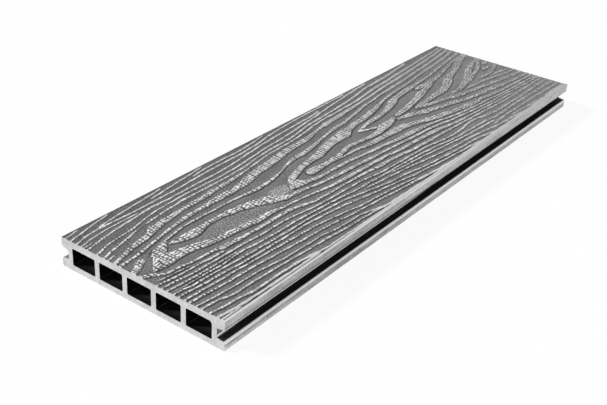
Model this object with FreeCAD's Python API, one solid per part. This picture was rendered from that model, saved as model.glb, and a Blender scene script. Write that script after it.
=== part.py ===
"""Hollow decking board: one extruded length of wood-plastic composite, with a row of chambers
inside and a clip groove along each long edge.

Units are millimetres. X runs across the board, Y along it and Z up. The origin is the centre of
the underside. The walking face is modelled at the height of its raised grain.
"""

import math
import os

import FreeCAD
import Part

# Overall size
BOARD_LENGTH = 500.0
BOARD_WIDTH = 146.0
BOARD_HEIGHT = 24.0

# Walls around the chambers
CHAMBER_COUNT = 5
TOP_WALL = 6.1
BOTTOM_WALL = 4.4
SIDE_WALL = 4.0
WEB_THICKNESS = 4.2

# Clip grooves. The flare is how far the floor and the roof each lean away from the root.
LOWER_LIP_HEIGHT = 7.0
GROOVE_MOUTH_HEIGHT = 8.6
GROOVE_FLARE = 0.7
GROOVE_DEPTH = 6.4

# Corner radii
WALKING_EDGE_RADIUS = 0.8
LEFT_UPPER_LIP_RADIUS = 2.4
RIGHT_UPPER_LIP_RADIUS = 1.2
LOWER_LIP_RADIUS = 1.4
GROOVE_ROOT_RADIUS = 0.8
UNDERSIDE_EDGE_RADIUS = 0.6
CHAMBER_RADIUS = 1.0
# The right-hand chamber has one rounder corner, at the top beside the side wall.
RIGHT_SHOULDER_RADIUS = 2.4

HALF_WIDTH = BOARD_WIDTH / 2
ROOT_X = HALF_WIDTH - GROOVE_DEPTH
CHAMBER_ROW_WIDTH = 2 * (ROOT_X - SIDE_WALL)
CHAMBER_WIDTH = (CHAMBER_ROW_WIDTH - (CHAMBER_COUNT - 1) * WEB_THICKNESS) / CHAMBER_COUNT


def round_at(before, corner, after, radius):
    """Where a round of that radius starts, has its middle and ends at a corner of the outline."""
    to_before = (before - corner).normalize()
    to_after = (after - corner).normalize()
    half_angle = to_before.getAngle(to_after) / 2
    along = radius / math.tan(half_angle)
    bisector = (to_before + to_after).normalize()
    middle = corner + bisector * (radius / math.sin(half_angle) - radius)
    return corner + to_before * along, middle, corner + to_after * along


def rounded_face(corners):
    """A face of the cross-section, from its corners in order round it, each (x, z, radius)."""
    points = [FreeCAD.Vector(x, 0, z) for x, z, _ in corners]
    rounds = []
    for i, (_, _, radius) in enumerate(corners):
        after = points[(i + 1) % len(points)]
        rounds.append(round_at(points[i - 1], points[i], after, radius))
    edges = []
    for (start, middle, end), (next_start, _, _) in zip(rounds, rounds[1:] + rounds[:1]):
        edges.append(Part.Arc(start, middle, end).toShape())
        edges.append(Part.LineSegment(end, next_start).toShape())
    return Part.Face(Part.Wire(edges))


def long_edge_corners(side, upper_lip_radius):
    """One long edge of the board, from the underside up to the walking face; side is -1 or 1."""
    upper_lip_height = LOWER_LIP_HEIGHT + GROOVE_MOUTH_HEIGHT
    return [
        (side * HALF_WIDTH, 0, UNDERSIDE_EDGE_RADIUS),
        (side * HALF_WIDTH, LOWER_LIP_HEIGHT, LOWER_LIP_RADIUS),
        (side * ROOT_X, LOWER_LIP_HEIGHT + GROOVE_FLARE, GROOVE_ROOT_RADIUS),
        (side * ROOT_X, upper_lip_height - GROOVE_FLARE, GROOVE_ROOT_RADIUS),
        (side * HALF_WIDTH, upper_lip_height, upper_lip_radius),
        (side * HALF_WIDTH, BOARD_HEIGHT, WALKING_EDGE_RADIUS),
    ]


def outer_section():
    """The board's outline: up the right-hand edge, across the top and down the left-hand edge."""
    right_edge = long_edge_corners(1, RIGHT_UPPER_LIP_RADIUS)
    left_edge = long_edge_corners(-1, LEFT_UPPER_LIP_RADIUS)
    return rounded_face(right_edge + left_edge[::-1])


def chamber_section(index):
    """The outline of one chamber, counted from the left."""
    left = -CHAMBER_ROW_WIDTH / 2 + index * (CHAMBER_WIDTH + WEB_THICKNESS)
    right = left + CHAMBER_WIDTH
    top = BOARD_HEIGHT - TOP_WALL
    is_rightmost = index == CHAMBER_COUNT - 1
    shoulder_radius = RIGHT_SHOULDER_RADIUS if is_rightmost else CHAMBER_RADIUS
    return rounded_face(
        [
            (left, BOTTOM_WALL, CHAMBER_RADIUS),
            (right, BOTTOM_WALL, CHAMBER_RADIUS),
            (right, top, shoulder_radius),
            (left, top, CHAMBER_RADIUS),
        ]
    )


def decking_board():
    """The section with its chambers cut out, extruded along Y and centred on the origin."""
    chambers = [chamber_section(i) for i in range(CHAMBER_COUNT)]
    section = outer_section().cut(chambers)
    board = section.extrude(FreeCAD.Vector(0, BOARD_LENGTH, 0))
    board.translate(FreeCAD.Vector(0, -BOARD_LENGTH / 2, 0))
    return board.Solids[0]


os.makedirs("parts", exist_ok=True)
board = decking_board()
board.exportStep("parts/decking_board.step")
print(f"decking_board: {board.Volume / 1000:.1f} cm3, valid {board.isValid()}")
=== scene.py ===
"""Looks of the hollow decking board: embossed grain on the walking face, sawn ends, hollows darkened
with painted shade.

Named lengths and the grain table are in millimetres. X runs across the board, Y along it with the
near end at -Y, and Z up. The camera looks at the near end from the right.
"""

import math

import bpy
import numpy as np
from mathutils import Matrix, Vector
from mathutils.geometry import tessellate_polygon


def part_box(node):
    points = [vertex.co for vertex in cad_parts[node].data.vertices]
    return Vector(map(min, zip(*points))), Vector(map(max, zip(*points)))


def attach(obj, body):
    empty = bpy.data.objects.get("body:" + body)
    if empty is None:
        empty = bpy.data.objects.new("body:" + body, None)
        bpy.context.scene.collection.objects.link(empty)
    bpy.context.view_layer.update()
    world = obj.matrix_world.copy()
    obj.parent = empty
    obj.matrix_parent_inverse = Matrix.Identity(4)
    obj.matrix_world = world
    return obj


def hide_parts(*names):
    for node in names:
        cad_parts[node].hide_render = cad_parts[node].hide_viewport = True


bl_info = {
    "name": "Decking board looks",
    "version": (1, 0, 0),
    "blender": (4, 5, 0),
    "location": "3D View > Sidebar > Decking board",
    "description": "Builds the embossed decking board and its stage",
    "category": "Object",
}

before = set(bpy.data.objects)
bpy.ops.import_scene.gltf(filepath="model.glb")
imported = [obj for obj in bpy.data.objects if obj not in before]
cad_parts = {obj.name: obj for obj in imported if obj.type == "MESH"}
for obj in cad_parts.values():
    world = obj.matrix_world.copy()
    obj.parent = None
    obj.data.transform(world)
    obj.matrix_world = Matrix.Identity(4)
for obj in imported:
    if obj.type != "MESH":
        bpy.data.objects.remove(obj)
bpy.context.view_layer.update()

MM = 0.001

# Size of the board
LOWEST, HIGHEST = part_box("decking_board")
BOARD_WIDTH, BOARD_LENGTH, BOARD_HEIGHT = (round(side / MM, 2) for side in HIGHEST - LOWEST)
HALF_WIDTH = BOARD_WIDTH / 2
HALF_LENGTH = BOARD_LENGTH / 2

# Section of the board, as in its construction
GROOVE_DEPTH = 6.4
ROOT_X = HALF_WIDTH - GROOVE_DEPTH
LOWER_LIP_HEIGHT = 7.0
GROOVE_MOUTH_HEIGHT = 8.6
UPPER_LIP_HEIGHT = LOWER_LIP_HEIGHT + GROOVE_MOUTH_HEIGHT
GROOVE_FLARE = 0.7
GROOVE_ROOT_RADIUS = 0.8
LOWER_LIP_RADIUS = 1.4
UNDERSIDE_EDGE_RADIUS = 0.6
RIGHT_UPPER_LIP_RADIUS = 1.2
LEFT_UPPER_LIP_RADIUS = 2.4
WALKING_EDGE_RADIUS = 0.8
CHAMBER_COUNT = 5
SIDE_WALL = 4.0
WEB_THICKNESS = 4.2
CHAMBER_PITCH = (2 * (ROOT_X - SIDE_WALL) + WEB_THICKNESS) / CHAMBER_COUNT
CHAMBER_WIDTH = CHAMBER_PITCH - WEB_THICKNESS
TOP_WALL = 6.1
CHAMBER_FLOOR = 4.4
CHAMBER_TOP = BOARD_HEIGHT - TOP_WALL
CHAMBER_RADIUS = 1.0
RIGHT_SHOULDER_RADIUS = 2.4
ROUND_STEP = 15  # degrees from point to point round a corner
SHARP_ANGLE = 38  # degrees between two faces, from which their edge is a sharp one

# Walking face. The grain was read along a length of GRAIN_LENGTH and fits the board's length.
GRAIN_LENGTH = 502.0
GRAIN_DEPTH = 1.05
VALLEY = BOARD_HEIGHT - GRAIN_DEPTH
EDGE_DROP = 0.5
EDGE_HEIGHT = BOARD_HEIGHT - EDGE_DROP
EDGE_BLEND = 0.4
EDGE_STEPS = 5
GRID_STEP_X = 0.4
GRID_STEP_Y = 0.5
SHEET_TRIANGLES = 190000
BLOCK_LENGTH = 3.1
BLOCK_WIDTH = 2.8
LINE_STEP = 0.5
LINE_SMOOTHING = 13  # points of a ridge's line, LINE_STEP apart, that are blended into one

# The relief is lower towards the far end, the left-hand edge and the far right-hand corner: the
# share of it that goes, and from where to where it does.
FAR_FADE, FAR_REACH = 0.5, (60, 250)
LEFT_FADE, LEFT_REACH = 0.25, (-30, -70)
CORNER_FADE, CORNER_X_REACH, CORNER_Y_REACH = 0.35, (35, 50), (20, 100)

# Stage: lengths in metres, angles in degrees
FLOOR_REACH = 4
FLOOR_GAP = 0.00005
FLOOR_TONE = 0.92
SENSOR_WIDTH = 36
KEY_DIRECTION, KEY_SPREAD = (-0.69, -0.44, 0.575), 10
FILL_DIRECTION, FILL_SPREAD = (0.95, -0.25, 0.15), 30

# Each ridge of the grain: its usual width, points (y, x) or (y, x, width) along its middle, and for
# some how gentle its right-hand side is, where 2 is very gentle. A ridge that reaches GRAIN_END
# runs off the board there.
GRAIN_END = 250
RIDGES = [
    # thin ridges of the right half, from the edge inwards
    (3.0, [(-250, 71.2), (-240, 72), (-228, 72.8)]),
    (2.3, [(-250, 67.5), (-240, 69), (-230, 69.7), (-200, 70.6), (-165, 70.9), (-150, 71)]),
    (2.4, [(-75, 72.2), (-30, 72), (0, 71.8), (75, 71.6, 3), (150, 71.4, 3.6), (250, 71, 4)]),
    (1.8, [(-250, 61), (-240, 63), (-228, 63.7), (-222, 65), (-213, 66.2), (-190, 66.3),
        (-172, 66.8, 2.2), (-162, 68.2, 2.4), (-150, 69.8, 2.2), (-140, 71.2), (-100, 71.5),
        (-68, 71.8)]),
    (1.5, [(-250, 54.5), (-238, 55.4), (-227, 58.9), (-205, 59.3), (-190, 60.2), (-170, 61.3),
        (-150, 63.1), (-135, 63.7), (-110, 66.2), (-80, 67.8), (-66, 69.6, 2.4), (-50, 70.4, 2.6),
        (-30, 71.1, 2.6), (0, 71.7), (12, 72)]),
    (1.3, [(-250, 50), (-237, 51.8), (-220, 53), (-195, 54.3), (-183, 55.7), (-175, 57.2),
        (-150, 58.2), (-130, 59), (-122, 61), (-105, 62.3), (-90, 63), (-80, 65.5), (-68, 68.7)]),
    (1.5, [(-250, 44.3), (-235, 45.6), (-220, 47.2), (-190, 48.5), (-170, 50.4), (-150, 52.3),
        (-125, 54), (-105, 56.3), (-92, 58.5), (-70, 60.5), (-50, 62.5), (-30, 65), (-15, 66, 2.2),
        (0, 68.2, 2.2), (20, 69.8, 2.2), (40, 71.2, 2), (70, 72)]),
    (1.5, [(-250, 40.3), (-225, 41.8), (-200, 43), (-175, 44.6), (-150, 46.2), (-125, 47.8),
        (-105, 50.7), (-90, 53.3), (-78, 56.1), (-60, 57.6), (-40, 59.8), (-25, 61.5),
        (-14, 63.5)]),
    (1.5, [(-250, 35.2), (-230, 37.3), (-205, 38.8), (-195, 40), (-165, 41), (-130, 41.7),
        (-105, 43.8), (-85, 46.5), (-70, 49.6), (-55, 52.5), (-40, 54.7), (-25, 57.2), (-10, 60),
        (10, 62.3), (25, 64.1), (50, 66.6), (65, 67.7), (80, 69.8), (95, 71.6)]),
    (1.5, [(-250, 31), (-242, 31.8), (-237, 33.1), (-210, 34.1), (-190, 35.8), (-155, 37.5),
        (-120, 38.4), (-100, 40), (-80, 42), (-60, 46.3), (-45, 49.8), (-30, 52.5), (-15, 53.9),
        (0, 57), (15, 59.3), (30, 60.7), (50, 62.9), (75, 64.4), (87, 65.3), (100, 68.5), (112, 71),
        (125, 71.6), (150, 71.4)]),
    (1.6, [(-241, 29.6, .8), (-220, 30.4), (-205, 31.5), (-185, 30.1), (-170, 31.8), (-150, 33.2),
        (-125, 33.6), (-105, 35.3), (-83, 37.2), (-60, 39.8), (-45, 40.5), (-30, 42), (-10, 42.5),
        (10, 43.8), (28, 44.8), (36, 46.5), (50, 47.5), (62, 49.8), (80, 51.5), (100, 52.3),
        (120, 53.4), (135, 56), (150, 56.3), (170, 55.6), (200, 56.2), (250, 58)]),
    (1.5, [(-52, 43.8), (-40, 45.7), (-25, 47.2), (-12, 48.5), (0, 50), (15, 52.7), (35, 55.6),
        (50, 57.9), (62, 59), (80, 59.8), (100, 62.3), (120, 65.7), (132, 67.2), (150, 67.9),
        (165, 69.8), (180, 71)]),
    (1.5, [(-18, 44.5), (0, 46.2), (10, 47.4), (25, 48.5), (40, 50.8), (55, 52.3), (70, 54),
        (90, 56), (110, 57.5), (126, 58.5)]),
    (1.3, [(121, 62.4, .7), (130, 61.7, 1), (140, 61), (160, 61.1), (180, 61.8), (203, 61.8),
        (220, 62.8, 1.6), (235, 63.2, 1.6), (250, 63.4)]),
    (1.6, [(150, 65), (160, 65.4), (170, 66.8), (185, 67.6), (199, 68.7), (212, 70)]),
    (3.0, [(206, 70, 1), (216, 68.6, 2), (224, 68.4), (232, 69), (250, 69.4)]),
    (1.4, [(-250, 25.4), (-238, 26.6), (-225, 27.9), (-200, 28.4), (-187, 28.7)]),
    (1.6, [(-250, 21), (-240, 21.8), (-225, 24), (-200, 24.8), (-180, 25.1), (-160, 26.7),
        (-135, 27), (-117, 29.3), (-98, 32), (-75, 33.2), (-50, 34.4), (-38, 36), (-25, 38.2),
        (-10, 39.2), (10, 40), (25, 41), (40, 41.4), (50, 43.2), (62, 45.2), (75, 46.7), (90, 46.5),
        (108, 44.4), (120, 45.6), (135, 49.5), (150, 50.9), (190, 51.9), (250, 51)]),
    (1.6, [(-250, 16.5), (-240, 18.2), (-220, 19.5), (-200, 20.9), (-192, 21.3)]),
    (1.0, [(-246, 13.5), (-235, 14.8), (-221, 16.5)]),
    # wide ridges of the right half
    (1.8, [(-251, 1.8, 4.4), (-248, 4.2, 3.8), (-245, 5.4, 4.4), (-242, 7.6, 4.4),
        (-239.5, 10.2, 3.2), (-236, 11.6), (-230, 12, 1.4), (-225, 12.6, 2.6), (-220, 14),
        (-205, 15.2), (-195, 16, 2.2), (-190, 17.9, 3.8), (-178, 18.6, 3.8), (-165, 19.6, 2.4),
        (-150, 20.1, 2.6), (-135, 20.4, 2.8), (-120, 20.6, 2.6), (-110, 22.6, 2.8), (-103, 24.6, 3),
        (-96, 26.9, 2.6), (-85, 27.3), (-65, 28.2), (-45, 29, 2), (-30, 30, 2.2), (-15, 32, 3.2),
        (0, 32.3, 2.6), (15, 33.8, 2.4), (28, 36.2, 2.6), (50, 37.3, 2.8), (75, 38.6, 2),
        (100, 40, 1.6), (125, 41.8, 1.6), (150, 43.6), (180, 45.8, 1.6), (215, 45.7, 1.6),
        (250, 46.2, 1.6)]),
    (1.8, [(-241, 4.4, .6), (-236.5, 2.2, 5.4), (-231.3, -.1, 12), (-226, -2.6, 17),
        (-222, -3.6, 18.5), (-219.5, .6, 9.5), (-215, .9, 8.4), (-206, 1.6, 8), (-200, 3.3, 7.8),
        (-194, 5.6, 6.6), (-186, 8, 5.2), (-160, 10.8, 5), (-145, 12.5, 5.6), (-132, 12.8, 4.6),
        (-120, 14.6, 1.9), (-107, 15.9), (-90, 18.3), (-80, 20.3, 2.4), (-68, 22.3, 3.2),
        (-50, 23.3, 3.2), (-30, 24.2, 3.2), (-10, 25.2, 2.8), (5, 26, 2.4), (20, 28.5, 2.8),
        (36, 28.9, 3.4), (60, 30.6, 3.6), (75, 31.8, 3.4), (85, 33.9, 3), (100, 36.2, 2),
        (120, 37.6, 1.6), (150, 39.5, 1.6), (170, 41.3, 1.6), (192, 42.3, 1.5)]),
    (1.8, [(-109, 7.6, 4), (-97, 8.5, 4.4), (-88, 9.8, 2.6), (-78, 12.1, 2.6), (-65, 14.2, 2.6),
        (-48, 15.8, 3.2), (-30, 17, 3.2), (-10, 18.9, 3), (8, 20, 2.2), (25, 21.7, 2.4),
        (50, 23.6, 2.6), (70, 25.2, 2.2), (85, 27, 2), (100, 30.4, 2.2), (113, 31.9, 2.2),
        (135, 34.7), (160, 37.2, 1.6), (185, 38.5, 1.5), (205, 40.3, 1.5), (225, 42), (250, 42.5)]),
    (1.6, [(-91, 2.5, 3), (-87, 1, 7.6), (-82, .4, 11), (-79.5, .6, 11), (-77, 4.2, 4.2),
        (-73, 5, 4), (-70, 6.2, 4.4), (-65, 6.7, 3.6), (-57, 7.2, 2.8), (-50, 7.5, 2.4),
        (-35, 8, 3.2), (-25, 8.6, 2.8), (-15, 10.2, 2.2), (0, 12, 2.6), (20, 14.1, 2.8),
        (32, 16.4, 3.6), (55, 18, 5), (68, 19.4, 3.6), (80, 21.3, 2.4), (95, 23.4, 2.2),
        (105, 26.5, 2), (120, 29, 2), (145, 31.8, 1.8), (160, 33, 1.8), (180, 35.2), (205, 37.2),
        (222, 38), (250, 39.8)]),
    (1.8, [(-30, .2, 1.2), (-15, 1.3, 2), (-5, 1.6, 2.4), (4, 3.4, 3.4), (14, 4.6, 4.8),
        (25, 4.6, 5), (35, 5, 5.4), (50, 5.8, 7), (62, 6.8, 7), (72, 9.5, 5.5), (80, 12.7, 5),
        (90, 15.5, 6.5), (100, 18, 7), (110, 20.3, 5), (120, 22.8, 4.5), (130, 24.8, 5.4),
        (140, 26.3, 5.5), (152, 27.4, 4), (165, 28, 2.8), (180, 30.4, 3), (190, 32, 2), (215, 33.2),
        (250, 35.6)]),
    (3.0, [(70.5, -4.6), (76, -4, 4.8), (84, -2, 5), (92, 1.5, 6), (100, 4.6, 6), (110, 6.7, 4.6),
        (118, 9.6, 3.8), (130, 12, 4.4), (140, 14.4, 4.6), (150, 17.8), (162, 20), (176, 21.5, 3.8),
        (186, 22.8, 4.2), (200, 25.6, 4), (212, 27.6, 2.8), (230, 29.3, 2), (250, 31, 1.8)]),
    (2.6, [(102, -5.6, 3), (108, -4.8, 6.5), (115, -2.6, 6), (124, .8, 3.4), (135, 2.9, 3.2),
        (142, 5.2, 4.6), (152, 8.2, 4), (165, 10.8, 2.4), (178, 13), (190, 15), (205, 17),
        (218, 19.8), (232, 22.5, 2), (250, 24, 1.8)]),
    (1.4, [(173, 5.6), (185, 6.8, 2), (200, 8, 2.2), (219, 11.7, 2.2), (235, 15, 1.8),
        (250, 17, 1.8)]),
    (2.6, [(206, 2.6, 1.5), (215, 3.6, 2.4), (226, 3.4), (236, 1.4), (250, -3.6)]),
    (1.8, [(222, 6.8, 1.4), (238, 9.7), (250, 12)]),
    # middle of the board
    (1.8, [(-229, -9, 2), (-224, -12.3, 3), (-216, -14.8, 2.4), (-208, -17.2, 1.6),
        (-195, -19.5, 1.6), (-183, -20.7), (-160, -20, 1.6), (-135, -19, 1.6), (-119, -17.2, 2.8),
        (-112, -16.6, 3.8), (-105, -16.4, 2.8), (-90, -17.3, 2.6), (-75, -20.5), (-65, -23.8, 2),
        (-55, -26.3, 3.4), (-42, -26.3, 4.6), (-30, -27.3, 4), (-18, -29.3, 3), (-3, -32, 2.4),
        (15, -34.8, 3), (30, -35.5, 3), (45, -37.7, 2.8), (60, -40.3, 3), (75, -43, 2), (90, -44),
        (105, -46), (130, -47.3, 2.2), (150, -48.2, 2), (175, -51.2), (200, -53), (220, -55.5),
        (250, -59)]),
    (6.0, [(-226, -8, 8), (-222, -9.6, 9), (-219, -10.8, 9), (-215, -12.4, 7.5), (-212, -14.9, 4.2),
        (-209, -16.8, 2)], 2),
    (5.4, [(-251, -4.4, 3.8), (-245, -7, 5), (-240.8, -10, 6.7), (-237.6, -10.5),
        (-235.4, -10.4, 2)], 2),
    (6.0, [(-209.5, -12, .6), (-205, -11.2, 3.4), (-198, -9.8, 6.5), (-190, -8.9, 8.6),
        (-183, -9.4, 6.4), (-175, -10.6, 4), (-160, -10.8, 4), (-150, -9.3), (-140, -7, 6.2),
        (-130, -4.8, 9), (-121, -.7, 10.5), (-114, 1.8, 11), (-109.5, 5, 7.5), (-105, 7, 5)]),
    (5.0, [(-90.5, 2, 4), (-87, -.8, 5.4), (-84.5, -4.2, 5.6), (-81, -6.6, 5.6), (-73, -9.2, 5.6),
        (-66, -11.4, 5.4), (-57, -13.4, 5.4), (-45, -14.7, 5.8), (-32, -15.6, 8), (-22, -18.8, 8),
        (-10, -21.2, 8), (3, -22.2, 9.5), (14, -22.6, 12), (22, -25, 6), (35, -27.3, 5.4),
        (50, -28, 5.4), (65, -30.3), (76, -32.2, 4), (87, -34.8, 2.6), (100, -37.5, 2),
        (120, -39.5, 2), (150, -41.6, 2.2), (165, -44, 2.2), (185, -46, 2.2), (205, -47.5, 2.2),
        (230, -50.4, 2), (250, -53.8, 2)]),
    (4.6, [(-65, -2.4, 8), (-57, -2.8, 7.4), (-46, -2.2, 5), (-25, -2.3), (-12, -5, 3.8),
        (-3, -6.2, 3.8), (10, -4.5, 3), (25, -2.5, 4.4), (37, -3, 5.4), (48, -6, 8.5),
        (58, -7.2, 7.2), (66, -8.2), (69, -8.5, 2)]),
    (3.0, [(23, -16.3, 1), (28, -14.6, 2.6), (33, -13, 3.2), (38, -10.8), (44, -9, 2)]),
    (4.0, [(24, -16.4, 1.4), (30, -17, 3), (40, -19, 3), (50, -20), (62, -20.2), (75, -22, 3.6),
        (88, -25.2, 5.8), (98, -28.6, 7), (108, -31.2, 4.6), (122, -32.8, 5), (133, -33.2, 5.4),
        (150, -34.4, 2.6), (170, -36, 2.2), (185, -37.6, 2.4), (205, -40.6, 2), (230, -44, 2),
        (250, -46.5, 2)]),
    (5.0, [(75.5, -9.6, 3), (82, -10.6, 4), (92, -11.4, 5.6), (105, -13.4, 5.4), (120, -16.4),
        (132, -19.3, 6.6), (145, -22), (152, -24.6, 8), (162, -27), (180, -29, 2.8),
        (192, -31, 2.4), (210, -35.3, 2.6), (222, -38.3, 2), (250, -40.5, 2)]),
    (4.0, [(139, -28, 3), (143, -28.2, 5), (152, -28.6)]),
    (4.0, [(101.5, -6, 3), (110, -6.4), (122, -6.7), (133, -7.4, 4.4), (145, -8.2, 6),
        (155, -8.8, 6.4), (163, -11, 6.6), (171, -13.5, 8.5), (178, -17, 9.5), (187, -20.8, 6.6),
        (200, -23.5), (212, -27, 5.6), (222, -31, 8), (232, -34.5, 5), (250, -37.5, 3)]),
    (5.0, [(155.5, .8, 1), (162, 1.7, 3.4), (172, 1.2, 4.6), (180, -.5, 5.4), (190, -3.8, 5.6),
        (200, -7.2, 7), (210, -12.5, 7.5), (220, -17, 6.5), (232, -20.2, 3.4), (250, -25, 2.4)]),
    (3.0, [(190, -.5, 1.6), (203, -4, 2.4), (215, -8, 2.6), (226, -9.8), (234, -14.5, 3.4),
        (242, -19, 3.4), (250, -23)]),
    (2.0, [(226, -5), (233, -6, 4), (240, -5)]),
    (3.6, [(240.5, -12, 2), (245, -12.8), (251, -14)]),
    # left half, from the middle outwards
    (2.0, [(-250, -16.5, 2.6), (-235, -18, 2.2), (-220, -20.3), (-205, -23.3), (-190, -26.2, 2.4),
        (-175, -28, 3.6), (-155, -28.2, 4), (-140, -28.5, 5.6), (-122, -28.4, 5.4),
        (-112, -29.3, 6.4), (-103, -31.3, 8), (-90, -33.8, 7.4), (-75, -35.3, 7.4), (-60, -37, 7.4),
        (-50, -38.5, 6.4), (-35, -39.5, 6), (-20, -39.8, 5.4), (-8, -41.3, 3.6), (5, -44),
        (18, -45.2, 5), (33, -46.2, 4.4), (50, -47.4, 3.6), (75, -49, 2.2), (95, -50.5),
        (120, -53.2), (150, -55, 2.2), (180, -57.5), (210, -60, 1.8), (250, -64, 1.6)]),
    (1.8, [(-250, -21.7, 3), (-240, -24.4, 3), (-230, -27.4, 4), (-220, -28.8, 5), (-211, -30.2, 5),
        (-207.5, -31.6, 6), (-203.5, -34.2, 8), (-200, -34.4, 6.4), (-185, -35.8, 4.6),
        (-170, -37, 3.6), (-150, -38, 4.6), (-135, -38.9, 4.2), (-120, -39.5, 3.6),
        (-108, -40.1, 2.8), (-97, -41.3, 1.4), (-90, -42, 1.4), (-75, -44), (-60, -46),
        (-30, -46.8, 1.6), (-12, -48), (5, -50.8), (22, -52.7), (50, -52.9), (80, -54),
        (105, -57.3, 2), (130, -58.8, 2), (150, -60.7, 2), (180, -62.6), (215, -65.3, 1.6),
        (250, -67.5, 1.6)]),
    (1.4, [(-250, -27.6), (-244, -28.8)]),
    (1.8, [(-250, -31.7), (-235, -35.7), (-220, -38.7), (-208, -41.4, .5), (-203, -42.3, .5),
        (-198, -42.8), (-185, -44.2), (-160, -46), (-140, -45.6), (-110, -45.6), (-90, -46.3),
        (-70, -48.9), (-50, -50.3), (-25, -50.8), (-10, -52.8), (5, -55.2), (25, -56.3),
        (50, -57.6), (75, -59.6), (90, -61.8), (105, -64.3), (130, -65.3), (150, -66.3),
        (170, -68.5), (185, -70.3)]),
    (1.6, [(-250, -38), (-238, -42), (-225, -43.2), (-210, -44.6), (-198, -47.6), (-185, -49.6),
        (-150, -51), (-118, -49.8), (-95, -50.3), (-75, -52.4), (-55, -54.5), (-30, -55.8),
        (-10, -57.5), (10, -60), (30, -62), (50, -64.6), (75, -66.8), (95, -69), (115, -70.5)]),
    (1.7, [(-250, -47), (-235, -50), (-220, -52.2), (-200, -54), (-183, -55.8), (-165, -54.7),
        (-135, -55.3), (-110, -55.3), (-90, -56.5), (-70, -58.8), (-50, -60.8), (-30, -62.2),
        (-5, -63.4), (20, -64), (35, -65.2)]),
    (1.3, [(-250, -50.5), (-243, -51.2)]),
    (1.3, [(-250, -53), (-238, -55.8), (-225, -57), (-205, -57), (-195, -56.8)]),
    (1.6, [(-250, -58), (-240, -60.5), (-230, -61.6), (-215, -61.2), (-195, -60.3), (-150, -60.6),
        (-130, -61.8), (-105, -62.5), (-75, -62.8), (-50, -64.3), (-35, -67), (-15, -68.6),
        (10, -70), (50, -70.3), (80, -70.5)]),
    (1.5, [(-226, -62.8), (-210, -65), (-190, -67), (-170, -68.5), (-158, -70.2)]),
    (1.5, [(-174, -64.2), (-150, -66.8), (-130, -68.6), (-112, -70.8)]),
    (1.5, [(-250, -63.7), (-235, -66.8), (-220, -69.7), (-210, -71)]),
    (1.5, [(-250, -68.8), (-238, -70.8)]),
    (1.5, [(-128, -65), (-115, -66.8), (-95, -67.3), (-70, -67), (-50, -68.8), (-36, -70.8)]),
]


def length_setting(name, description, default):
    return bpy.props.FloatProperty(
        name=name, description=description, default=default, unit="LENGTH", subtype="DISTANCE"
    )


def angle_setting(name, description, degrees):
    return bpy.props.FloatProperty(
        name=name, description=description, default=math.radians(degrees), subtype="ANGLE"
    )


def number_setting(name, description, default, subtype="NONE"):
    return bpy.props.FloatProperty(
        name=name, description=description, default=default, subtype=subtype
    )


class BoardSettings(bpy.types.PropertyGroup):
    """What can be changed on the board's walking face."""

    thin_rise: length_setting(
        "Thin ridge rise", "How far a thin ridge stands above the valleys", 0.00068
    )
    wide_rise: length_setting(
        "Wide ridge rise", "How far a wide ridge stands above the valleys", 0.00102
    )
    right_flank: length_setting(
        "Right flank", "Width of the steep right-hand side of a ridge", 0.00045
    )
    left_flank: length_setting("Left flank", "Width of the left-hand side of a ridge", 0.0009)
    foot_depth: length_setting(
        "Foot depth", "How far the valley sinks at the foot of a ridge's steep side", 0.0003
    )
    seed: bpy.props.IntProperty(
        name="Seed", description="Chooses the small irregularities of the grain", default=7
    )


class StageSettings(bpy.types.PropertyGroup):
    """Camera, lamps and floor."""

    azimuth: angle_setting(
        "Azimuth", "Turn of the camera round the board from the near end towards the right", 35.321
    )
    elevation: angle_setting("Elevation", "Angle of the camera above the floor", 29.644)
    roll: angle_setting("Roll", "Turn of the camera about its own axis", 3.336)
    distance: length_setting("Distance", "From the camera to the point it looks at", 0.77749)
    target: bpy.props.FloatVectorProperty(
        name="Target",
        description="Point the camera looks at",
        default=(-0.00188, -0.06974, 0.00018),
        subtype="TRANSLATION",
        unit="LENGTH",
    )
    lens: number_setting("Lens", "Focal length in millimetres on a sensor 36 mm wide", 59.13)
    key_strength: number_setting("Key strength", "Strength of the soft lamp from the left", 3.65)
    fill_strength: number_setting(
        "Fill strength", "Strength of the weak low lamp from the right", 1.15
    )
    world_strength: number_setting("World strength", "Strength of the even light all round", 0.32)
    floor_glow: number_setting(
        "Floor glow", "Share of plain white in the floor as the camera sees it", 0.92, "FACTOR"
    )


def connect(tree, socket, value):
    """Links a shade to the socket, or sets the socket to a plain value."""
    if isinstance(value, Shade):
        tree.links.new(value.socket, socket)
    else:
        socket.default_value = value


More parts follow.
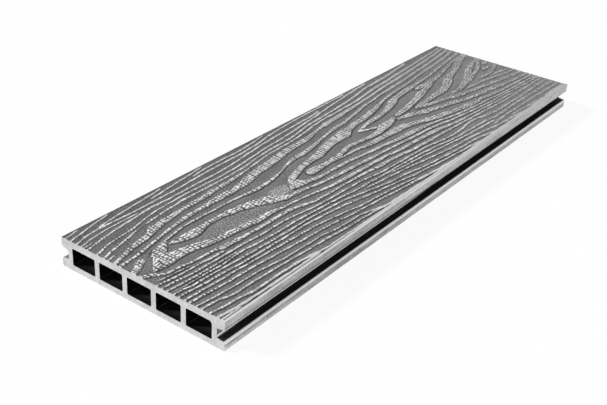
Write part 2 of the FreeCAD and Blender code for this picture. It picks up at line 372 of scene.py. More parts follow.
class Shade:
    """A socket of a node tree, so that shader sums can be written as plain expressions."""

    def __init__(self, tree, socket):
        self.tree = tree
        self.socket = socket

    def node(self, kind, settings, inputs, output=0):
        """Adds a node with these settings and socket values, and gives one of its outputs."""
        node = self.tree.nodes.new(kind)
        for name, value in settings.items():
            setattr(node, name, value)
        for name, value in inputs.items():
            connect(self.tree, node.inputs[name], value)
        return Shade(self.tree, node.outputs[output])

    def maths(self, operation, *values):
        inputs = dict(enumerate(values))
        return self.node("ShaderNodeMath", {"operation": operation}, inputs)

    def __add__(self, other):
        return self.maths("ADD", self, other)

    __radd__ = __add__

    def __mul__(self, other):
        return self.maths("MULTIPLY", self, other)

    __rmul__ = __mul__

    def __sub__(self, other):
        return self.maths("SUBTRACT", self, other)

    def __rsub__(self, other):
        return self.maths("SUBTRACT", other, self)

    def __truediv__(self, other):
        return self.maths("DIVIDE", self, other)

    def __rtruediv__(self, other):
        return self.maths("DIVIDE", other, self)

    def __abs__(self):
        return self.maths("ABSOLUTE", self)

    def ramp(self, low, high, start=0):
        """Rises smoothly from 0 at low to 1 at high, past start; low may be the larger."""
        settings = {"interpolation_type": "SMOOTHSTEP"}
        ends = {"From Min": start + min(low, high), "From Max": start + max(low, high)}
        share = self.node("ShaderNodeMapRange", settings, {"Value": self, **ends})
        return share if low < high else 1 - share

    def larger(self, other):
        return self.maths("MAXIMUM", self, other)

    def stretched(self, x, y, z):
        """This place with its axes scaled."""
        inputs = {0: self, 1: (x, y, z)}
        return self.node("ShaderNodeVectorMath", {"operation": "MULTIPLY"}, inputs)

    def noise(self, detail=3.0, roughness=0.55):
        """Smooth random values round 0.5 at this place."""
        inputs = {"Vector": self, "Scale": 1.0, "Detail": detail, "Roughness": roughness}
        return self.node("ShaderNodeTexNoise", {}, inputs, "Fac")

    def floor(self):
        return self.maths("FLOOR", self)

    def random(self):
        """A random value from 0 to 1 for each whole number."""
        settings = {"noise_dimensions": "1D"}
        return self.node("ShaderNodeTexWhiteNoise", settings, {"W": self}, "Value")

    def cracks(self, spacing, width):
        """1 where this phase is at a whole number, that spacing apart, and 0 past that width."""
        whole = abs(self.maths("FRACT", self) - 0.5)
        return ((0.5 - whole) * spacing).ramp(width, 0.4 * width)

    def between(self, dark, light):
        """The colour between dark and light, with this value as the share of light."""
        inputs = {0: self, 6: (*dark, 1), 7: (*light, 1)}
        return self.node("ShaderNodeMix", {"data_type": "RGBA"}, inputs, 2)


def new_material(name):
    """A material, its plastic shader node and the place on the board in millimetres."""
    material = bpy.data.materials.new(name)
    material.use_nodes = True
    tree = material.node_tree
    plastic = tree.nodes["Principled BSDF"]
    place = Shade(tree, None).node("ShaderNodeTexCoord", {}, {}, "Object")
    millimetres = place.stretched(1000, 1000, 1000)
    return material, plastic, millimetres


def axes(place):
    """The three coordinates of a place."""
    return [place.node("ShaderNodeSeparateXYZ", {}, {"Vector": place}, i) for i in range(3)]


def finish_material(plastic, colour, roughness, grain, grain_depth, specular=0.25):
    """Connects colour, roughness, gloss and the fine bump of one material."""
    bump = {"Strength": 1.0, "Distance": grain_depth * MM, "Height": grain}
    inputs = {
        "Base Color": colour,
        "Roughness": roughness,
        "Specular IOR Level": specular,
        "Normal": grain.node("ShaderNodeBump", {}, bump, "Normal"),
    }
    for name, value in inputs.items():
        connect(colour.tree, plastic.inputs[name], value)


def grey(tone):
    return (tone, tone, tone)


def oval(x, y, middle, squares):
    """1 in the middle of an oval, 0 on its rim and less outside. The squares are those of its half
    width and its half length."""
    across, along = x - middle[0], y - middle[1]
    return 1 - across * across / squares[0] - along * along / squares[1]


def walking_face_material():
    """Worn light ridges broken into small blocks, over darker and rougher valleys."""
    material, plastic, place = new_material("walking_face")
    x, y, z = axes(place)
    # Fine speckle, light specks, soft blotches, two that bend the rows of blocks, and one that
    # chooses where the cracks are kept
    speckle = place.stretched(0.9, 0.7, 0).noise(3, 0.7)
    specks = place.stretched(1.1, 0.9, 0).noise(1).ramp(0.5, 0.68)
    blotch = place.stretched(0.12, 0.05, 0).noise(2)
    drift = place.stretched(0.11, 0.14, 0).noise(1)
    pace = place.stretched(0.02, 0.16, 0).noise(1)
    kept = place.stretched(0.3, 0.4, 0).noise(1)

    # Height above the valleys, as if the relief were equally high everywhere, and what is raised:
    # the ridges and the rounded long edges
    fade = (1 - FAR_FADE * y.ramp(*FAR_REACH)) * (1 - LEFT_FADE * x.ramp(*LEFT_REACH))
    corner = x.ramp(*CORNER_X_REACH) * y.ramp(*CORNER_Y_REACH)
    relief = (z - VALLEY) / (fade * (1 - CORNER_FADE * corner))
    raised = relief.ramp(0.28, 0.6).larger(abs(x).ramp(-1.1, -0.7, HALF_WIDTH))

    # Wide ridges, and bars: the wide ridges half-way along the board, which split mostly across
    wide = relief.ramp(0.72, 0.86)
    bars = wide * y.ramp(-100, -75) * y.ramp(85, 55)
    wide = wide - 0.45 * bars

    # Cracks across all ridges, with some left out at random, and along the wide ones. They are
    # weaker on the left and at the near right-hand corner, and end short of the long edges.
    rows = y / BLOCK_LENGTH + 1.1 * drift + 1.1 * pace
    columns = x / BLOCK_WIDTH + rows.floor().random() + drift
    cut = ((rows + 0.5).floor() + 31 * (x / 6 + drift).floor()).random().ramp(0.2, 0.4)
    cut = cut.larger(0.4 * bars) * kept.ramp(0.3, 0.42).larger(bars)
    cross = rows.cracks(BLOCK_LENGTH, 0.8) * cut
    along = columns.cracks(BLOCK_WIDTH, 0.6) * wide * kept.ramp(0.68, 0.56)
    inner = abs(x).ramp(-3.5, -6, HALF_WIDTH)
    calm = x.ramp(45, 56) * y.ramp(-110, -180)
    crack = cross.larger(along) * inner * (0.45 + 0.55 * x.ramp(-55, -38)) * (1 - 0.45 * calm)

    # The raised parts: each block has its own level; the rounded edges get a painted highlight
    columns = columns * wide + (1 - wide) * x / 4.5
    level = (rows.floor() + 57 * columns.floor()).random().ramp(0, 0.6)
    level = level * inner + 0.3 * (1 - inner)
    far = 0.1 * y.ramp(-150, 60) + 0.22 * y.ramp(30, 220)
    wear_and_highlight = 0.5 + (0.35 - far) * level - 0.5 * far - 0.07 * y.ramp(60, 160) * (1 - wide)
    wear_and_highlight = wear_and_highlight - 0.05 * (corner + calm) - 0.03 * bars
    # Cracks lose the wear and are painted darker than the valleys, as painted shade
    wear_and_highlight = raised * (wear_and_highlight * (1 - crack) - 0.08 * crack)
    # Painted highlight along the rounded long edges, stronger towards the near end
    wear_and_highlight = wear_and_highlight + abs(x).ramp(-0.6, -0.3, HALF_WIDTH) * (0.25 + 0.15 * y.ramp(60, -20))

    # The valleys: light specks, most of them in the leaf and the patch in the middle of the grain,
    # and painted shadow at the feet beside the ridges and round their near tips. The whole face is a
    # little darker towards the left-hand edge.
    leaf = oval(x, y, (1, -140), (110, 4200)).ramp(0, 0.5)
    patch = oval(x, y, (-2.5, -100), (50, 170)).ramp(0, 0.5)
    rough = (0.16 + 0.26 * leaf) * specks + (0.05 + 0.4 * specks) * patch
    # Painted shadow at the ridges' feet and round their near tips
    foot = 0.09 * (relief.ramp(-0.1, -0.3) + relief.ramp(-0.32, -0.42))
    foot = foot + 0.05 * x.ramp(-20, -60)

    uneven = 0.4 * (speckle - 0.5) * (1 - 0.7 * raised) + 0.16 * (blotch - 0.5)
    tone = wear_and_highlight + rough * (1 - raised) + uneven + 0.08 - foot + 0.035 * y.ramp(-60, 200)
    colour = tone.between(grey(0.08), grey(0.9))
    finish_material(plastic, colour, 0.72 + 0.2 * (1 - raised), speckle - raised * crack, 0.4)
    return material


def sawn_end_material():
    """The light sawn ends, faintly mottled."""
    material, plastic, place = new_material("sawn_end")
    mottling = place.stretched(0.25, 0.25, 0.25).noise(3)
    fibres = place.stretched(1.6, 1.6, 0.8).noise(3, 0.6)
    tone = 0.5 + 1.4 * (mottling - 0.5) + 1.6 * (fibres - 0.5)
    colour = tone.between(grey(0.39), grey(0.62))
    finish_material(plastic, colour, 0.7, fibres, 0.12)
    return material


def side_material():
    """The plain sides, lips and underside: painted edge highlights and shade, a little mottled."""
    material, plastic, place = new_material("side")
    x, y, z = axes(place)
    marks = place.stretched(0.5, 0.7, 0.5).noise(4, 0.7)
    mottling = place.stretched(0.12, 0.05, 0.25).noise(3)

    # Painted highlights along the upper edge and the lower lip, faint on the left-hand side
    near = y.ramp(60, -60)
    shaded = y.ramp(-225, -195) * y.ramp(-40, -80)
    rim = near * z.ramp(-1.3, -0.9, EDGE_HEIGHT)
    lip = (z - 0.4 * shaded).ramp(-2.1, -1.4, LOWER_LIP_HEIGHT) * z.ramp(2, 1, LOWER_LIP_HEIGHT)
    lip = lip * (1 - 0.5 * y.ramp(100, 200))
    wear_and_highlight = (rim + lip) * (0.3 + 0.7 * x.ramp(-10, 10))

    # Painted shade: a dark line on the round of the right-hand upper lip, and in the grooves'
    # hollows
    painted_lip_shade = near * z.ramp(-0.6, -0.1, UPPER_LIP_HEIGHT) * z.ramp(1.8, 1.3, UPPER_LIP_HEIGHT)
    painted_lip_shade = painted_lip_shade * x.ramp(-3, -2, HALF_WIDTH)
    hollow = z.ramp(-0.6, 0, LOWER_LIP_HEIGHT) * z.ramp(0.3, -0.3, UPPER_LIP_HEIGHT)
    hollow = hollow * abs(x).ramp(-0.2, -0.8, HALF_WIDTH)

    # Lighter and darker stretches above and below the groove, and the lighter far end
    upper = z.ramp(16, 21) - 0.7 * shaded * (z.ramp(16, 18) + z.ramp(18, 21))
    lower = z.ramp(5, 4.4) * y.ramp(-70, -10) * y.ramp(200, 120)
    near_foot = y.ramp(-120, -240) * z.ramp(3.6, 2.2)
    far = y.ramp(130, 220) * (1 + z.ramp(2.4, 5.0) * z.ramp(12, 9))

    tone = 0.32 + 0.85 * (marks - 0.5) + 0.6 * (mottling - 0.5) + 0.08 * (upper + lower)
    tone = tone + 0.3 * near_foot + 0.09 * far + wear_and_highlight - 0.55 * painted_lip_shade - 0.6 * hollow
    colour = tone.between(grey(0.18), grey(0.95))
    finish_material(plastic, colour, 0.68, marks, 0.15)
    return material


def groove_material():
    """The right-hand clip groove: painted shade, and painted highlights on the web's foot and lip.
    """
    material, plastic, place = new_material("groove")
    x, y, z = axes(place)
    dust = place.stretched(0.5, 0.12, 0.5).noise(3)
    # Painted light: a little lighter towards both ends, and on the web near the near end
    ends = y.ramp(-215, -248) + 2.5 * y.ramp(232, 248)
    web = x.ramp(0.7, 0.3, ROOT_X) * y.ramp(-225, -240)
    # Painted highlights along the web's foot and the round of the lower lip
    foot = z.ramp(0.9, 1.2, LOWER_LIP_HEIGHT) * z.ramp(2.7, 2.4, LOWER_LIP_HEIGHT)
    foot = foot * x.ramp(1, 0.7, ROOT_X) * y.ramp(10, -50)
    lip = x.ramp(-1.2, -0.6, HALF_WIDTH) * z.ramp(2, 1, LOWER_LIP_HEIGHT)
    # The nearly black base is painted shade
    tone = 0.012 + 0.03 * ends * dust + 0.16 * web + 0.9 * (foot + lip)
    colour = tone.between(grey(0.0), grey(0.95))
    finish_material(plastic, colour, 0.85, dust, 0.05, 0.05)
    return material


def chamber_material():
    """The chambers' insides: nearly black painted shade, a floor painted lighter, a little dust."""
    material, plastic, place = new_material("chamber")
    _, y, z = axes(place)
    dust = place.stretched(0.3, 0.1, 0.3).noise(3)
    # Painted light: the floor lighter than the walls, with painted highlights on its rounded corners
    floor = z.ramp(1, 0.6, CHAMBER_FLOOR)
    foot = floor * z.ramp(0.1, 0.3, CHAMBER_FLOOR)
    # Painted shade: darker still towards the open ends
    deep = abs(y).ramp(0, -24, HALF_LENGTH)
    tone = (0.12 + 0.88 * floor + foot) * (0.05 + 0.95 * deep) * (0.6 + 0.8 * dust)
    # Nearly black colours, as painted shade
    colour = tone.between(grey(0.0), grey(0.08))
    finish_material(plastic, colour, 0.9, dust, 0.05, 0.05)
    return material


WALKING_FACE, SAWN_END, SIDE, GROOVE, CHAMBER = range(5)


def smoothstep(value):
    value = np.clip(value, 0, 1)
    return value * value * (3 - 2 * value)


def ramp(value, low, high):
    """Rises smoothly from 0 at low to 1 at high; low may be the larger."""
    return smoothstep((value - low) / (high - low))


def smooth_noise(x, y, step_x, step_y, rng):
    """Smooth random values from -1 to 1 on the grid of x and y, with knots that far apart."""
    across = (x - x.min()) / step_x
    along = (y - y.min()) / step_y
    column, row = across.astype(int), along.astype(int)
    knots = rng.uniform(-1, 1, (row.max() + 2, column.max() + 2))
    share_x = smoothstep(across - column)
    share_y = smoothstep(along - row)[:, None]
    rows = knots[:, column] * (1 - share_x) + knots[:, column + 1] * share_x
    return rows[row] * (1 - share_y) + rows[row + 1] * share_y


def smoothed(line):
    """The line with its corners blended away and its ends in place."""
    blend = np.hanning(LINE_SMOOTHING + 2)[1:-1]
    blend /= blend.sum()
    half = len(blend) // 2
    before = 2 * line[0] - line[half:0:-1]
    after = 2 * line[-1] - line[-2:-half - 2:-1]
    return np.convolve(np.concatenate([before, line, after]), blend, "valid")


def ridge_height(ridge, x, y, settings, rng):
    """Height above the valleys that one ridge gives to the grid of x and y, how deep its foot
    sinks beside it and round its near tip, and the rows it is in."""
    usual_width, points, *softness = ridge
    scale = BOARD_LENGTH / GRAIN_LENGTH
    knots = np.array([(p[0] * scale, p[1], p[2] if len(p) > 2 else usual_width) for p in points])
    start, end = knots[0, 0], knots[-1, 0]
    fine = np.arange(start, end + LINE_STEP, LINE_STEP)
    middles, widths = (smoothed(np.interp(fine, knots[:, 0], knots[:, i])) for i in (1, 2))

    # Its rounded ends, if it doesn't run off the board
    first, last = start + widths[0] / 2, end - widths[-1] / 2
    reach = 1 + widths.max() / 2
    lowest, highest = start - reach, end + reach
    if points[0][0] <= -GRAIN_END:
        first = lowest = -BOARD_LENGTH
    if points[-1][0] >= GRAIN_END:
        last = highest = BOARD_LENGTH
    rows = (y >= lowest) & (y <= highest)
    along = np.clip(y[rows], first, max(first, last))

    # Small irregularities, and a little more width towards the far end
    sway = 0.2 * smooth_noise(np.zeros(1), along, 1, 5, rng)[:, 0]
    swell = 0.25 * smooth_noise(np.zeros(1), along, 1, 3.2, rng)[:, 0]
    middle = (np.interp(along, fine, middles) + sway)[:, None]
    width = np.interp(along, fine, np.maximum(widths, 0.3))
    width += swell * np.minimum(width, 2) + 0.2 * ramp(along, -60, 20)
    width = (width + 0.6 * ramp(along, 30, 140))[:, None]
    past_end = (y[rows] - along)[:, None]
    inside = width / 2 - np.hypot(x - middle, past_end)

    # The right-hand sides are steep on the right of the board and gentle on the left. The change
    # lies left of the middle, and closer to it at the near end.
    near = np.maximum(-225 - y[rows], 0)[:, None]
    firm = 14 + 14 * smoothstep(y[rows] / 100)[:, None]
    gentle = np.maximum(smoothstep((near - firm - x) / 30), sum(softness))
    out = 0.15 + 0.5 * gentle
    inside -= 0.12 * gentle
    left = smoothstep((inside + 0.5) / (settings.left_flank / MM))
    right = smoothstep((inside + out) / (out - 0.15 + settings.right_flank / MM))
    thin, wide = settings.thin_rise / MM, settings.wide_rise / MM
    rise = thin + (wide - thin) * smoothstep((width - 1.2) / 3.5)
    shape = np.where(x > middle, right, left)
    near_tip = 2 * smoothstep(-past_end) * smoothstep((width - 2) / 2)
    foot = np.where(x > middle, 1 - gentle, 0) * smoothstep(1 - past_end)
    foot = np.maximum(foot, near_tip) * np.exp(np.minimum(inside, 0) / 1.8)
    return rise * shape, foot, rows


def grain_height(x, y, settings):
    """Height of the walking face above its valleys on the grid of x and y."""
    rng = np.random.default_rng(settings.seed)
    height = np.zeros((len(y), len(x)))
    foot = np.zeros_like(height)
    for ridge in RIDGES:
        added, sunk, rows = ridge_height(ridge, x, y, settings, rng)
        height[rows] = np.maximum(height[rows], added)
        foot[rows] = np.maximum(foot[rows], sunk)
    height *= 1 - 0.06 * (1 + smooth_noise(x, y, 1.9, 2.9, rng))
    sink = settings.foot_depth / MM * foot * (1 - smoothstep(height / 0.3))
    # The far edge is lower still, and a fine line runs just inside the right-hand edge's near part.
    y = y[:, None]
    far_fade = 1 - FAR_FADE * ramp(y, *FAR_REACH) - 0.2 * ramp(y, 243, 249)
    left_fade = 1 - LEFT_FADE * ramp(x, *LEFT_REACH)
    corner_fade = 1 - CORNER_FADE * ramp(x, *CORNER_X_REACH) * ramp(y, *CORNER_Y_REACH)
    edge_line = smoothstep(1 - np.abs(x - 72) / 0.6) * ramp(y, -90, -130)
    return (height - sink) * far_fade * left_fade * corner_fade * (1 - edge_line)


def round_corner(before, corner, after, radius):
    """Points round a corner of the section, with that radius."""
    before, corner, after = (Vector(p) for p in (before, corner, after))
    to_before = (before - corner).normalized()
    to_after = (after - corner).normalized()
    half_angle = to_before.angle(to_after) / 2
    middle = corner + (to_before + to_after).normalized() * radius / math.sin(half_angle)
    start = corner + to_before * radius / math.tan(half_angle) - middle
    end = corner + to_after * radius / math.tan(half_angle) - middle
    sweep = math.pi - 2 * half_angle
    count = max(3, round(math.degrees(sweep) / ROUND_STEP))
    points = []
    for i in range(count + 1):
        share = i / count
        start_part = start * math.sin((1 - share) * sweep)
        end_part = end * math.sin(share * sweep)
        points.append(tuple(middle + (start_part + end_part) / math.sin(sweep)))
    return points


def rounded(corners):
    """Points of the section round these corners, each (x, z, radius), without the two outer ones."""
    points = []
    for before, (x, z, radius), after in zip(corners, corners[1:], corners[2:]):
        points += round_corner(before[:2], (x, z), after[:2], radius)
    return points


def lower_outline():
    """The section below the walking face, from its right-hand edge round to its left-hand one."""
    top = EDGE_HEIGHT - WALKING_EDGE_RADIUS
    right = [
        (HALF_WIDTH, UPPER_LIP_HEIGHT, RIGHT_UPPER_LIP_RADIUS),
        (ROOT_X, UPPER_LIP_HEIGHT - GROOVE_FLARE, GROOVE_ROOT_RADIUS),
        (ROOT_X, LOWER_LIP_HEIGHT + GROOVE_FLARE, GROOVE_ROOT_RADIUS),
        (HALF_WIDTH, LOWER_LIP_HEIGHT, LOWER_LIP_RADIUS),
        (HALF_WIDTH, 0, UNDERSIDE_EDGE_RADIUS),
    ]
    left = [(-x, z, radius) for x, z, radius in reversed(right)]
    left[-1] = (-HALF_WIDTH, UPPER_LIP_HEIGHT, LEFT_UPPER_LIP_RADIUS)
    return rounded([(HALF_WIDTH, top, 0)] + right + left + [(-HALF_WIDTH, top, 0)])


def chamber_outline(index):
    """The section of one chamber, counted from the left."""
    middle = (index - (CHAMBER_COUNT - 1) / 2) * CHAMBER_PITCH
    left, right = middle - CHAMBER_WIDTH / 2, middle + CHAMBER_WIDTH / 2
    shoulder = RIGHT_SHOULDER_RADIUS if index == CHAMBER_COUNT - 1 else CHAMBER_RADIUS
    corners = [
        (left, CHAMBER_FLOOR, CHAMBER_RADIUS),
        (right, CHAMBER_FLOOR, CHAMBER_RADIUS),
        (right, CHAMBER_TOP, shoulder),
        (left, CHAMBER_TOP, CHAMBER_RADIUS),
    ]
    return rounded([corners[-1]] + corners + [corners[0]])


def face_sheet(settings):
    """The walking face with its two rounded edges as an open sheet of triangles, edge to edge
    and end to end: its points in millimetres, and its triangles."""
    inner = HALF_WIDTH - WALKING_EDGE_RADIUS
    columns = round(2 * inner / GRID_STEP_X) + 1
    rows = round(BOARD_LENGTH / GRID_STEP_Y) + 1
    x = np.linspace(-inner, inner, columns)
    y = np.linspace(-HALF_LENGTH, HALF_LENGTH, rows)
    edge = smoothstep((np.abs(x) - inner + EDGE_BLEND) / EDGE_BLEND)
    rise = grain_height(x, y, settings)
    height = VALLEY + rise * (1 - edge) + (EDGE_HEIGHT - VALLEY) * edge
    angles = np.radians(np.linspace(0, 90, EDGE_STEPS + 1)[1:])
    round_x = inner + WALKING_EDGE_RADIUS * np.sin(angles)
    round_z = EDGE_HEIGHT - WALKING_EDGE_RADIUS * (1 - np.cos(angles))
    all_x = np.concatenate([-round_x[::-1], x, round_x])
    sides = np.ones((rows, 1))
    all_z = np.hstack([sides * round_z[::-1], height, sides * round_z])
    count = len(all_x)
    points = np.stack([np.tile(all_x, rows), np.repeat(y, count), all_z.ravel()], 1)
    index = np.arange(rows * count).reshape(rows, count)
    a, b = index[:-1, :-1].ravel(), index[:-1, 1:].ravel()
    c, d = index[1:, 1:].ravel(), index[1:, :-1].ravel()
    # Each square's diagonal is turned against its neighbours'
    turned = (np.add.outer(np.arange(rows - 1), np.arange(count - 1)) % 2).ravel() == 1
    first = np.where(turned[:, None], np.stack([a, b, d], 1), np.stack([a, b, c], 1))
    second = np.where(turned[:, None], np.stack([b, c, d], 1), np.stack([a, c, d], 1))
    return points, np.concatenate([first, second])


def mesh_from(name, points, faces):
    mesh = bpy.data.meshes.new(name)
    mesh.from_pydata(points, [], faces)
    return mesh


def thinned_sheet(points, triangles, target):
    """The sheet with its flat parts in fewer triangles, so that about target of them are left."""
    mesh = mesh_from("sheet", points.tolist(), triangles.tolist())
    piece = bpy.data.objects.new("sheet", mesh)
    bpy.context.scene.collection.objects.link(piece)
    thinning = piece.modifiers.new("thinning", "DECIMATE")
    thinning.ratio = target / len(triangles)
    thinning.use_collapse_triangulate = True
    shown = piece.evaluated_get(bpy.context.evaluated_depsgraph_get())
    result = bpy.data.meshes.new_from_object(shown)
    count = len(result.vertices)
    places = np.empty(count * 3)
    result.vertices.foreach_get("co", places)
    corners = np.empty(len(result.polygons) * 3, int)
    result.polygons.foreach_get("vertices", corners)
    bpy.data.objects.remove(piece)
    bpy.data.meshes.remove(mesh)
    bpy.data.meshes.remove(result)
    return places.reshape(-1, 3), corners.reshape(-1, 3)


def rim_stretches(points, triangles):
    """The rim of the walking face's sheet as four rows of point numbers: the near end and the far
    end, left to right, and the right-hand edge and the left-hand edge, near to far."""
    # The rim is made of the edges that no second triangle shares
    count = len(points)
    edges = np.concatenate([triangles[:, [0, 1]], triangles[:, [1, 2]], triangles[:, [2, 0]]])
    back = set((edges[:, 1] * count + edges[:, 0]).tolist())
    after = {a: b for a, b in edges.tolist() if a * count + b not in back}
    rim = np.array(list(after))
    corners = []
    for x, y in ((-1, -1), (1, -1), (1, 1), (-1, 1)):
        gaps = np.hypot(points[rim, 0] - x * HALF_WIDTH, points[rim, 1] - y * HALF_LENGTH)
        corners.append(int(rim[gaps.argmin()]))
    stretches = []
    for start, end in zip(corners, corners[1:] + corners[:1]):
        row = [start]
        while row[-1] != end:
            row.append(after[row[-1]])
        stretches.append(row)
    near, right, far, left = stretches
    return near, far[::-1], right, left[::-1]


class BoardBuilder:
    """Collects the board's points and faces, each face with its material."""

    def __init__(self, points, triangles):
        self.points = [tuple(p) for p in points.tolist()]
        self.faces = [tuple(t) for t in triangles.tolist()]
        self.materials = [WALKING_FACE] * len(self.faces)

    def add_point(self, x, y, z):
        self.points.append((x, y, z))
        return len(self.points) - 1

    def add_face(self, corners, material):
        self.faces.append(tuple(corners))
        self.materials.append(material)

    def add_strip(self, many, start, end, material, turned):
        """Triangles between a row of points and the two points opposite its ends."""
        half = len(many) // 2
        for i, (a, b) in enumerate(zip(many, many[1:])):
            far = start if i < half else end
            self.add_face((a, far, b) if turned else (b, far, a), material)
        middle = many[half]
        corners = (middle, start, end) if turned else (end, start, middle)
        self.add_face(corners, material)

    def add_end(self, outline, holes, faces_near):
        """One sawn end: the outline without the chambers."""
        order = outline + [i for hole in holes for i in hole]
        loops = [[(self.points[i][0], self.points[i][2], 0) for i in loop]
                 for loop in [outline] + holes]
        for triangle in tessellate_polygon(loops):
            a, b, c = (order[i] for i in triangle)
            (ax, _, az), (bx, _, bz), (cx, _, cz) = (self.points[i] for i in (a, b, c))
            turn = (bx - ax) * (cz - az) - (bz - az) * (cx - ax)
            if turn:
                corners = (a, b, c) if (turn > 0) == faces_near else (a, c, b)
                self.add_face(corners, SAWN_END)


def section_material(x, z):
    """The material of a long face of the section, by its middle. The right-hand groove starts on
    the rounds of its lips."""
    in_mouth = LOWER_LIP_HEIGHT - 0.6 < z < UPPER_LIP_HEIGHT + 0.1
    return GROOVE if in_mouth and 0 < x < HALF_WIDTH - 0.1 else SIDE


def board_mesh(settings):
    """The whole board as one closed mesh."""
    points, triangles = thinned_sheet(*face_sheet(settings), SHEET_TRIANGLES)
    side_height = EDGE_HEIGHT - WALKING_EDGE_RADIUS
    points[:, 2] = np.minimum(points[:, 2], BOARD_HEIGHT)
    near, far, right, left = rim_stretches(points, triangles)
    points[near, 1], points[far, 1] = -HALF_LENGTH, HALF_LENGTH
    points[right, 0], points[left, 0] = HALF_WIDTH, -HALF_WIDTH
    points[right, 2] = points[left, 2] = side_height

    builder = BoardBuilder(points, triangles)
    outline = lower_outline()
    rings = [[builder.add_point(x, y, z) for x, z in outline] for y in (-HALF_LENGTH, HALF_LENGTH)]
    near_ring, far_ring = rings
    builder.add_strip(right, near_ring[0], far_ring[0], SIDE, turned=True)
    builder.add_strip(left, near_ring[-1], far_ring[-1], SIDE, turned=False)
    for i in range(len(outline) - 1):
        middle = [(a + b) / 2 for a, b in zip(outline[i], outline[i + 1])]
        corners = (near_ring[i], near_ring[i + 1], far_ring[i + 1], far_ring[i])
        builder.add_face(corners, section_material(*middle))
    holes = [
        [[builder.add_point(x, y, z) for x, z in chamber_outline(k)] for k in range(CHAMBER_COUNT)]
        for y in (-HALF_LENGTH, HALF_LENGTH)
    ]
    for near_hole, far_hole in zip(*holes):
        for i, start in enumerate(near_hole):
            j = (i + 1) % len(near_hole)
            corners = (start, near_hole[j], far_hole[j], far_hole[i])
            builder.add_face(corners, CHAMBER)
    builder.add_end(near + near_ring, holes[0], faces_near=True)
    builder.add_end(far + far_ring, holes[1], faces_near=False)

    places = (np.array(builder.points) * MM).tolist()
    mesh = mesh_from("board", places, builder.faces)
    mesh.polygons.foreach_set("material_index", builder.materials)
    mesh.validate()
    mesh.shade_smooth()
    mesh.set_sharp_from_angle(angle=math.radians(SHARP_ANGLE))
    return mesh


class DECKING_OT_board(bpy.types.Operator):
    """Build the board with its grain, sawn ends, grooves and chambers"""

    bl_idname = "decking.board"
    bl_label = "Board"

    def execute(self, context):
        mesh = board_mesh(context.scene.decking_board)
        for material in (
            walking_face_material(),
            sawn_end_material(),
            side_material(),
            groove_material(),
            chamber_material(),
        ):
            mesh.materials.append(material)
        board = bpy.data.objects.new("board", mesh)
        context.scene.collection.objects.link(board)
        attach(board, "root")
        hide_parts("decking_board")
        return {"FINISHED"}


def background_rays(tree):
    """1 for the rays that show the background: to the camera, reflected or through glass."""
    rays = Shade(tree, None).node("ShaderNodeLightPath", {}, {}, "Is Camera Ray")
    for name in ("Is Glossy Ray", "Is Transmission Ray"):
        rays = rays.larger(rays.node("ShaderNodeLightPath", {}, {}, name))
    return rays


def floor_material(glow):
    """A pale floor that the camera sees as white, with the board's shadow on it."""
    material = bpy.data.materials.new("floor")
    material.use_nodes = True
    tree = material.node_tree
    tree.nodes.clear()
    start = Shade(tree, None)
    plain = start.node("ShaderNodeBsdfDiffuse", {}, {"Color": (*grey(FLOOR_TONE), 1)})
    white = start.node("ShaderNodeEmission", {}, {"Color": (1, 1, 1, 1), "Strength": 1.0})
    share = background_rays(tree) * glow
    mixed = start.node("ShaderNodeMixShader", {}, {0: share, 1: plain, 2: white})
    surface = tree.nodes.new("ShaderNodeOutputMaterial").inputs["Surface"]
    connect(tree, surface, mixed)
    return material


def build_world(scene, strength):
    """Even light all round, seen as white by the camera."""
    world = bpy.data.worlds.new("studio")
    world.use_nodes = True
    scene.world = world
    tree = world.node_tree
    background = tree.nodes["Background"]
    background.inputs["Color"].default_value = (1, 1, 1, 1)
    level = background_rays(tree) * (1 - strength) + strength
    connect(tree, background.inputs["Strength"], level)


def build_camera(scene, settings):
    """The camera at the photograph's angle."""
    azimuth, elevation = settings.azimuth, settings.elevation
    level = math.cos(elevation)
    back = Vector((math.sin(azimuth) * level, -math.cos(azimuth) * level, math.sin(elevation)))
    level_right = (-back).cross(Vector((0, 0, 1))).normalized()
    level_up = level_right.cross(-back)
    c, s = math.cos(settings.roll), math.sin(settings.roll)
    right = level_right * c + level_up * s
    up = level_up * c - level_right * s
    data = bpy.data.cameras.new("camera")
    data.sensor_width = SENSOR_WIDTH
    data.lens = settings.lens
    data.clip_start, data.clip_end = 0.01, 50
    camera = bpy.data.objects.new("camera", data)
    scene.collection.objects.link(camera)
    turn = Matrix((right, up, back)).transposed().to_4x4()
    place = Vector(settings.target) + back * settings.distance
    camera.matrix_world = Matrix.Translation(place) @ turn
    scene.camera = camera


def add_lamp(scene, name, direction, spread, strength):
    """A soft distant lamp that shines from that direction."""
    data = bpy.data.lights.new(name, "SUN")
    data.energy = strength
    data.angle = math.radians(spread)
    lamp = bpy.data.objects.new(name, data)
    lamp.rotation_euler = Vector(direction).to_track_quat("Z", "Y").to_euler()
    scene.collection.objects.link(lamp)


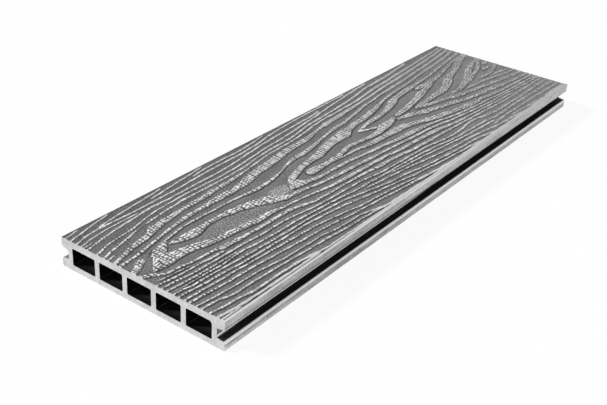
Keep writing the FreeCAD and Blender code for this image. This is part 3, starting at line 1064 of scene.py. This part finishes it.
class DECKING_OT_stage(bpy.types.Operator):
    """Set up the floor, the light and the camera"""

    bl_idname = "decking.stage"
    bl_label = "Stage"

    def execute(self, context):
        scene = context.scene
        settings = scene.decking_stage
        sides = ((-1, -1), (1, -1), (1, 1), (-1, 1))
        corners = [(FLOOR_REACH * x, FLOOR_REACH * y, 0) for x, y in sides]
        mesh = mesh_from("floor", corners, [(0, 1, 2, 3)])
        mesh.materials.append(floor_material(settings.floor_glow))
        floor = bpy.data.objects.new("floor", mesh)
        floor.location.z = -FLOOR_GAP
        scene.collection.objects.link(floor)
        build_world(scene, settings.world_strength)
        add_lamp(scene, "key", KEY_DIRECTION, KEY_SPREAD, settings.key_strength)
        add_lamp(scene, "fill", FILL_DIRECTION, FILL_SPREAD, settings.fill_strength)
        build_camera(scene, settings)
        scene.view_settings.view_transform = "Standard"
        return {"FINISHED"}


class DECKING_PT_panel(bpy.types.Panel):
    """Lists the steps that build the board and its stage"""

    bl_label = "Decking board"
    bl_idname = "DECKING_PT_panel"
    bl_space_type = "VIEW_3D"
    bl_region_type = "UI"
    bl_category = "Decking board"

    def draw(self, context):
        layout = self.layout
        for name in BoardSettings.__annotations__:
            layout.prop(context.scene.decking_board, name)
        layout.operator(DECKING_OT_board.bl_idname)
        for name in ("key_strength", "fill_strength", "world_strength", "floor_glow"):
            layout.prop(context.scene.decking_stage, name)
        layout.operator(DECKING_OT_stage.bl_idname)


CLASSES = (BoardSettings, StageSettings, DECKING_OT_board, DECKING_OT_stage, DECKING_PT_panel)


def register():
    for cls in CLASSES:
        bpy.utils.register_class(cls)
    bpy.types.Scene.decking_board = bpy.props.PointerProperty(type=BoardSettings)
    bpy.types.Scene.decking_stage = bpy.props.PointerProperty(type=StageSettings)


def unregister():
    del bpy.types.Scene.decking_stage
    del bpy.types.Scene.decking_board
    for cls in reversed(CLASSES):
        bpy.utils.unregister_class(cls)


def main():
    register()
    bpy.ops.decking.board()
    bpy.ops.decking.stage()


if __name__ == "__main__":
    main()
